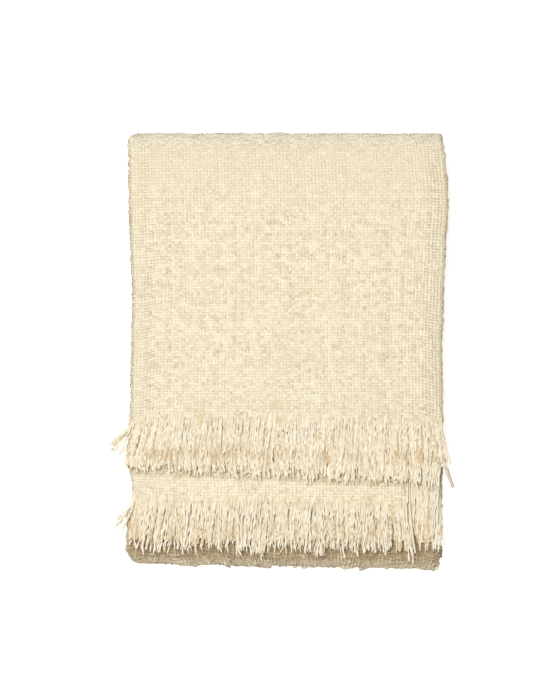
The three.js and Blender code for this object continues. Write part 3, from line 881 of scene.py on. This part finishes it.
def fringe(band, facing, end_at, look):
    """The loose threads of one end. They settle on each other a little way out from the weave."""
    # Where each thread starts
    s = ends_across(THREAD_INSET, WIDTH_TOTAL - THREAD_INSET, THREAD_PITCH)
    count = len(s)
    s = s + PLACE_SPREAD * spread(count, -PLACE_LIMIT, PLACE_LIMIT)
    place = width_place(s)
    share = np.append(np.linspace(0, THREAD_TIP, THREAD_NODES - 1), 1)
    rank = (LAYER_COUNT - 1) / 2 + facing * place[W] / LAYER_PITCH
    raised = rng.random((count, 1)) < RAISED_SHARE
    inward = place[X] - LEFT_EDGE - CLOTH_THICKNESS / 2
    left = np.clip(1 - inward / LEFT_SPLAY_REACH, 0, 1)
    beside = inward / LEFT_LEAN_AT * np.exp(1 - inward / LEFT_LEAN_AT)
    outmost = np.clip(1 - (RIGHT_EDGE - place[X]) / RIGHT_SPLAY_REACH, 0, 1)

    # Which way it heads
    clump = np.arange(count) // CLUMP
    within = np.arange(count) % CLUMP - (CLUMP - 1) / 2
    lean, fan, grown = rng.normal(size=(3, clump.max() + 1))[:, clump]
    lean = CLUMP_LEAN * lean + CLUMP_FAN * fan * within + OWN_LEAN * rng.normal(size=count)
    outer = smooth(s, WIDTH_TOTAL - OUTER_LONGER_REACH, WIDTH_TOTAL - OUTER_LONGER_REACH / 2)
    lean = lean * (1 - COMB * outer)
    right = outmost ** 2 * (1 - COMB * outer)
    inner = np.clip(1 - s / SELVAGE_LEAN_REACH, 0, 1)
    splay = look["right_splay"] * right + SELVAGE_LEAN * inner - LEFT_SPLAY * left - LEFT_LEAN * beside

    # How long it is
    top = np.clip(rank - (LAYER_COUNT - 2), 0, 1)
    shown = (1 - LEFT_SPLAY_SHORTER * left) * (1 - look["top_shorter"] * top * (1 - outmost))
    shown = shown * np.where(raised[:, 0], 1, look["bed"])
    held = grown.clip(-NOISE_LIMIT, NOISE_LIMIT)
    uneven = 1 + look["ragged"] * (held + OWN_RAGGED * spread(count))
    length = look["length"] * shown * uneven + look["outer_longer"] * outer
    root = THREAD_ROOT * rng.uniform(*ROOT_RANGE, count)
    run = share * (length + root)[:, None] - root[:, None]
    out = np.maximum(run, 0)

    # Its path
    bend = TIP_BEND * rng.normal(size=(count, 1)) * (out / FRINGE_LENGTH) ** 2
    gathered = (within * place[NORMAL_W])[:, None] * smooth(out, BUNCH_FROM, FRINGE_LENGTH)
    bend = bend - BUNCH * THREAD_PITCH * gathered
    waves = rng.uniform(*WAVE_RANGE, (count, 1))
    phase = rng.uniform(0, 2 * math.pi, (count, 1))
    wave = look["crinkle"] * smooth(out, 0, CRINKLE_FULL_AT) * np.sin(2 * math.pi * waves * share + phase)
    heading = lean[:, None] * (run > 0) + splay[:, None] * smooth(out, 0, SPLAY_TURN)
    step = np.diff(run, axis=1, prepend=run[:, :1])
    x = place[X][:, None] + np.cumsum(np.sin(heading) * step, 1) + bend + wave
    y = (end_at(place) + root)[:, None] - np.cumsum(np.cos(heading) * step, 1)
    fall = (LAST_FALL + RANK_FALL * rank)[:, None] * smooth(out, 0, FALL_REACH)
    overhang = np.maximum(np.maximum(LEFT_EDGE - x, x - RIGHT_EDGE), 0)
    lift = THREAD_LIFT * rng.uniform(*LIFT_RANGE, (count, 1)) * smooth(run + root[:, None], 0, THREAD_ROOT)
    loft = np.where(raised, RAISED_LOFT, 0) + THREAD_LOFT * spread((count, 1))
    loft = loft * smooth(out, 0, RAISED_FROM)
    z = band_height(band) + facing * place[W][:, None] + lift + loft - fall - SIDE_SAG * overhang
    paths = lie(np.stack([x, y, z], -1))
    ups = np.broadcast_to(UP, paths.shape)

    # Its thickness and its tones
    size = np.where(raised, RAISED_SIZE, BED_SIZE) * np.exp(SIZE_SPREAD * spread((count, 1)))
    radii = THREAD_RADIUS * size * (1 + RADIUS_SPREAD * spread(out.shape, *RADIUS_LIMITS))
    radii[:, -1] *= TIP_SIZE
    # Painted light on the raised threads, painted shade on the bed towards its tips
    tones = THREAD_TONE + np.where(raised, RAISED_LIGHT_TONE, -look["bed_tip_shade"] * share ** 2)
    tones = tones + THREAD_TONE_SPREAD * spread((count, 1))
    top_tips = end_at(place)[top == 1].mean() - look["length"] * (1 - look["top_shorter"])
    top_tips = top_tips + SHADE_UNEVEN * grown[:, None]
    shade = (1 - top)[:, None] * smooth(y, top_tips - SHADE_REACH, top_tips)
    # Painted shade under the top tier and painted light on the splayed tuft at the left
    tones = tones - look["shade_tone"] * shade + TUFT_LIGHT_TONE * left[:, None]
    tones = tones - np.where(raised, RAISED_ROOT_TONE, ROOT_TONE) * (1 - smooth(out, 0, ROOT_TONE_REACH))
    slubs = SLUB_AT_ROOT + (1 - SLUB_AT_ROOT) * smooth(out, 0, SLUB_FULL_AT)
    tones = tones + SLUB_TONE * slubs * rng.normal(size=radii.shape)
    return tubes(paths, radii, ups, tones, THREAD_SECTION, THREAD_HEIGHT, THREAD_FOOT_SHADE)


# The sheet under the yarns, with the steps that each part of it has
SHEET_HALF = 0.55
WIDTH_STEPS = {
    "inner": 14,
    "left_fold": 12,
    "outer": 14,
    "right_fold": 6,
    "upper_middle": 14,
    "hidden_fold": 6,
    "lower_middle": 14,
}
LENGTH_STEPS = {
    "upper_flap": 20,
    "back_turn": 14,
    "bottom": 24,
    "front_turn": 10,
    "second": 24,
    "inner_turn": 8,
    "lower_flap": 24,
}

# The yarn along each selvage and the loose yarn at each of them
SELVAGE_INSET = 0.6
SELVAGE_RADIUS = 1.25
SELVAGE_SPREAD = 0.12
SELVAGE_ROUGHNESS = 0.6
SELVAGE_CELLS = 2
SELVAGE_TONE = 0.8
SELVAGE_TONE_SPREAD = 0.1
# Painted shade on the foot of the selvage yarns
SELVAGE_FOOT_SHADE = 0.15
LOOSE_NODES = 10
OUTER_LOOSE = {
    "shift": np.array([0.0, 0.0, 0.0]),
    "reach": np.array([7.0, -56.0, -1.0]),
    "bend": np.array([8.0, 0.0, -3.0]),
    "radius": 1.9,
    "tone": 0.3,
}
INNER_LOOSE = {
    "shift": np.array([1.8, 0.0, -1.0]),
    "reach": np.array([-0.5, -79.0, -1.0]),
    "bend": np.array([7.0, 0.0, 0.0]),
    "radius": 1.0,
    "tone": 0.7,
}
INNER_LOOSE_STATION = -17


def folded_sheet():
    """The thin closed sheet that the yarns lie on, deep in tone as painted shade where it shows in the gaps.
    """
    across = []
    for name, part in WIDTH_PARTS.items():
        steps = WIDTH_STEPS[name]
        across.append(WIDTH_STARTS[name] + part["length"] * np.arange(steps) / steps)
    s = np.concatenate([*across, [WIDTH_TOTAL]])
    stretches = []
    for name, steps in LENGTH_STEPS.items():
        stretches.append((name, np.linspace(0, 1, steps, endpoint=name == "lower_flap")))
    outer, inner = (sheet_points(stretches, s, lift) for lift in (SHEET_HALF, -SHEET_HALF))
    rings = np.concatenate([outer, inner[:, ::-1]], 1)
    rows, size = rings.shape[:2]
    row, column = np.meshgrid(np.arange(rows - 1), np.arange(size), indexing="ij")
    a = row * size + column
    b = row * size + (column + 1) % size
    walls = np.stack([a, b, b + size, a + size], -1).reshape(-1, 4)
    i = np.arange(size // 2 - 1)
    cap = np.stack([i, i + 1, size - 2 - i, size - 1 - i], -1)
    faces = np.concatenate([walls, cap[:, ::-1], cap + (rows - 1) * size])
    return rings.reshape(-1, 3), faces, None, np.full(rows * size, SHEET_SHADE_TONE)


def loose_yarn(start, look):
    """One yarn that has come away from a selvage."""
    share = np.linspace(0, 1, LOOSE_NODES)[:, None]
    path = start + look["shift"] + share * look["reach"] + share ** 2 * look["bend"]
    radii = np.full((1, LOOSE_NODES), look["radius"])
    tones = np.full((1, LOOSE_NODES), look["tone"])
    ups = np.broadcast_to(UP, (1, LOOSE_NODES, 3))
    return tubes(path[None], radii, ups, tones, LOOP_SECTION, LOOP_HEIGHT, SELVAGE_FOOT_SHADE)


def selvages():
    """The yarn along each long edge of the cloth, and the two loose ones."""
    stretches = [(name, stations(name, 0, 1, 0)) for name in LENGTH_PARTS]
    points, normals = grid(stretches, np.array([SELVAGE_INSET, WIDTH_TOTAL - SELVAGE_INSET]))
    paths = points.transpose(1, 0, 2)
    ups = normals.transpose(1, 0, 2)
    shape = paths.shape[:2]
    lumps = soft_noise(shape, SELVAGE_CELLS) + SELVAGE_ROUGHNESS * rng.normal(size=shape)
    radii = SELVAGE_RADIUS * (1 + SELVAGE_SPREAD * lumps.clip(-NOISE_LIMIT, NOISE_LIMIT))
    tones = SELVAGE_TONE + SELVAGE_TONE_SPREAD * lumps
    edges = tubes(paths, radii, ups, tones, LOOP_SECTION, LOOP_HEIGHT, SELVAGE_FOOT_SHADE)
    outer = loose_yarn(paths[1, 0], OUTER_LOOSE)
    inner = loose_yarn(paths[0, INNER_LOOSE_STATION], INNER_LOOSE)
    return joined([edges, outer, inner])


# Materials

YARN_ROUGHNESS = 0.95
YARN_SPECULAR = 0.1
YARN_SHEEN = 0.1
YARN_SHEEN_ROUGHNESS = 0.5
GRAIN_SCALE = 500.0
GRAIN_DETAIL = 3.0
GRAIN_SHARE = 0.5
DEEP_AT = 0.1
MIDDLE_AT = 0.55
PALE_AT = 1.0
BOUCLE_COLOURS = {
    "deep": (0.46, 0.355, 0.22),
    "middle": (0.78, 0.70, 0.54),
    "pale": (0.91, 0.865, 0.72),
}
THREAD_COLOURS = {
    "deep": (0.665, 0.525, 0.33),
    "middle": (0.83, 0.745, 0.575),
    "pale": (0.94, 0.895, 0.765),
}


def node(tree, kind, **settings):
    made = tree.nodes.new(kind)
    for name, value in settings.items():
        setattr(made, name, value)
    return made


def yarn_material(name, deep, middle, pale):
    """Matt spun yarn with a fine grain, its colour following the tone from deep to pale: painted shade in the
    gaps of the weave, painted light on its crowns, and the yarn's own uneven tone.
    """
    material = bpy.data.materials.new(name)
    material.use_nodes = True
    tree = material.node_tree
    shader = tree.nodes["Principled BSDF"]
    shader.inputs["Roughness"].default_value = YARN_ROUGHNESS
    shader.inputs["Specular IOR Level"].default_value = YARN_SPECULAR
    shader.inputs["Sheen Weight"].default_value = YARN_SHEEN
    shader.inputs["Sheen Roughness"].default_value = YARN_SHEEN_ROUGHNESS
    shader.inputs["Sheen Tint"].default_value = (*pale, 1)
    tone = node(tree, "ShaderNodeAttribute", attribute_name="tone")
    place = node(tree, "ShaderNodeTexCoord")
    grain = node(tree, "ShaderNodeTexNoise")
    grain.inputs["Scale"].default_value = GRAIN_SCALE
    grain.inputs["Detail"].default_value = GRAIN_DETAIL
    tree.links.new(place.outputs["Object"], grain.inputs["Vector"])
    mixed = node(tree, "ShaderNodeMath", operation="MULTIPLY_ADD")
    mixed.inputs[1].default_value = GRAIN_SHARE
    tree.links.new(grain.outputs["Fac"], mixed.inputs[0])
    tree.links.new(tone.outputs["Fac"], mixed.inputs[2])
    ramp = node(tree, "ShaderNodeValToRGB")
    stops = ramp.color_ramp.elements
    stops[0].position = DEEP_AT
    stops[0].color = (*deep, 1)
    stops[1].position = PALE_AT
    stops[1].color = (*pale, 1)
    stops.new(MIDDLE_AT).color = (*middle, 1)
    tree.links.new(mixed.outputs["Value"], ramp.inputs["Fac"])
    tree.links.new(ramp.outputs["Color"], shader.inputs["Base Color"])
    return material


boucle = yarn_material("boucle_yarn", **BOUCLE_COLOURS)
thread = yarn_material("fringe_thread", **THREAD_COLOURS)


# The pieces


def piece(name, made, material):
    """An object of one material that lies with the throw."""
    made_object = mesh_object(name, *made)
    made_object.data.materials.append(material)
    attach(made_object, "root")
    return made_object


sheet = piece("folded_sheet", folded_sheet(), boucle)
woven = [
    piece("top_warp", top_warp, boucle),
    piece("top_weft", top_weft, boucle),
    piece("front_weave", joined([front_warp, front_weft]), boucle),
    piece("lower_flap_weave", joined([lower_warp, lower_weft]), boucle),
    piece("layer_end_weave", joined(end_parts), boucle),
    piece("side_weave", joined(side_parts), boucle),
    piece("selvages", selvages(), boucle),
    piece("top_loops", loops(top_patch, TOP_LOOPS), boucle),
    # The loops on the front fold are deeper as painted shade
    piece(
        "front_loops",
        joined([loops(front_patch, FRONT_LOOPS, FRONT_LOOP_SHADE_TONE), loops(lower_patch, FLAP_LOOPS)]),
        boucle,
    ),
    piece("side_loops", joined([loops(patch, SIDE_LOOPS) for patch in side_patches]), boucle),
]
upper_threads = fringe(band=3, facing=1, end_at=upper_end, look=UPPER_FRINGE)
lower_threads = fringe(band=2, facing=-1, end_at=lower_end, look=LOWER_FRINGE)
upper_fringe = piece("upper_threads", upper_threads, thread)
lower_fringe = piece("lower_threads", lower_threads, thread)
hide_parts("cloth")
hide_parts("upper_fringe")
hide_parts("lower_fringe")


# The floor, the light and the camera

FLOOR_SIZE = 6.0
FLOOR_COLOUR = (0.95, 0.95, 0.95, 1)
FLOOR_ROUGHNESS = 0.9
FLOOR_GLOW = 0.65
FLOOR_GLOW_COLOUR = (1, 1, 1, 1)
PHOTO_CENTRE = (-0.007, 0.0)
PHOTO_HEIGHT = 0.742
CAMERA_HEIGHT = 8.0
SENSOR = 36.0
DOME_LEAN = (-0.1, -0.05, 0.48)
DOME_COLOUR = (1.0, 0.84, 0.58, 1)
GROUND_STRENGTH = 0.72
GROUND_COLOUR = (0.93, 0.97, 1.0, 1)
KEY_COLOUR = (1.0, 1.01, 1.03)
KEY_PLACE = (-0.9, 0.7, 4.75)
KEY_SIZE = 1.9
KEY_POWER = 195

bpy.ops.mesh.primitive_plane_add(size=FLOOR_SIZE)
floor = bpy.context.object
floor.name = "floor"
paper = bpy.data.materials.new("floor_paper")
paper.use_nodes = True
paper_shader = paper.node_tree.nodes["Principled BSDF"]
paper_shader.inputs["Base Color"].default_value = FLOOR_COLOUR
paper_shader.inputs["Emission Color"].default_value = FLOOR_GLOW_COLOUR
paper_shader.inputs["Emission Strength"].default_value = FLOOR_GLOW
paper_shader.inputs["Roughness"].default_value = FLOOR_ROUGHNESS
floor.data.materials.append(paper)
floor.visible_diffuse = False

world = bpy.data.worlds.new("studio")
world.use_nodes = True
sky = world.node_tree
dome = sky.nodes["Background"]
dome.inputs["Color"].default_value = DOME_COLOUR
ground = node(sky, "ShaderNodeBackground")
ground.inputs["Color"].default_value = GROUND_COLOUR
towards = node(sky, "ShaderNodeTexCoord")
rise = node(sky, "ShaderNodeVectorMath", operation="DOT_PRODUCT")
rise.inputs[1].default_value = DOME_LEAN
dome_level = node(sky, "ShaderNodeMath", operation="MAXIMUM")
height = node(sky, "ShaderNodeSeparateXYZ")
under = node(sky, "ShaderNodeMath", operation="LESS_THAN")
ground_level = node(sky, "ShaderNodeMath", operation="MULTIPLY")
dome_level.inputs[1].default_value = 0.0
under.inputs[1].default_value = 0.0
ground_level.inputs[1].default_value = GROUND_STRENGTH
both = node(sky, "ShaderNodeAddShader")
sky.links.new(towards.outputs["Generated"], rise.inputs[0])
sky.links.new(rise.outputs["Value"], dome_level.inputs[0])
sky.links.new(dome_level.outputs["Value"], dome.inputs["Strength"])
sky.links.new(towards.outputs["Generated"], height.inputs[0])
sky.links.new(height.outputs["Z"], under.inputs[0])
sky.links.new(under.outputs["Value"], ground_level.inputs[0])
sky.links.new(ground_level.outputs["Value"], ground.inputs["Strength"])
sky.links.new(dome.outputs["Background"], both.inputs[0])
sky.links.new(ground.outputs["Background"], both.inputs[1])
sky.links.new(both.outputs["Shader"], sky.nodes["World Output"].inputs["Surface"])
bpy.context.scene.world = world

key = bpy.data.lights.new("key", "AREA")
key.shape = "SQUARE"
key.size = KEY_SIZE
key.energy = KEY_POWER
key.color = KEY_COLOUR
key_light = bpy.data.objects.new("key", key)
key_light.location = KEY_PLACE
key_light.rotation_euler = (-key_light.location).to_track_quat("-Z", "Y").to_euler()
bpy.context.scene.collection.objects.link(key_light)

top = cad_box[1].z
lens = bpy.data.cameras.new("camera")
lens.sensor_width = SENSOR
lens.lens = SENSOR * CAMERA_HEIGHT / PHOTO_HEIGHT
camera = bpy.data.objects.new("camera", lens)
camera.location = (*PHOTO_CENTRE, top + CAMERA_HEIGHT)
bpy.context.scene.collection.objects.link(camera)
bpy.context.scene.camera = camera
bpy.context.scene.view_settings.view_transform = "Standard"
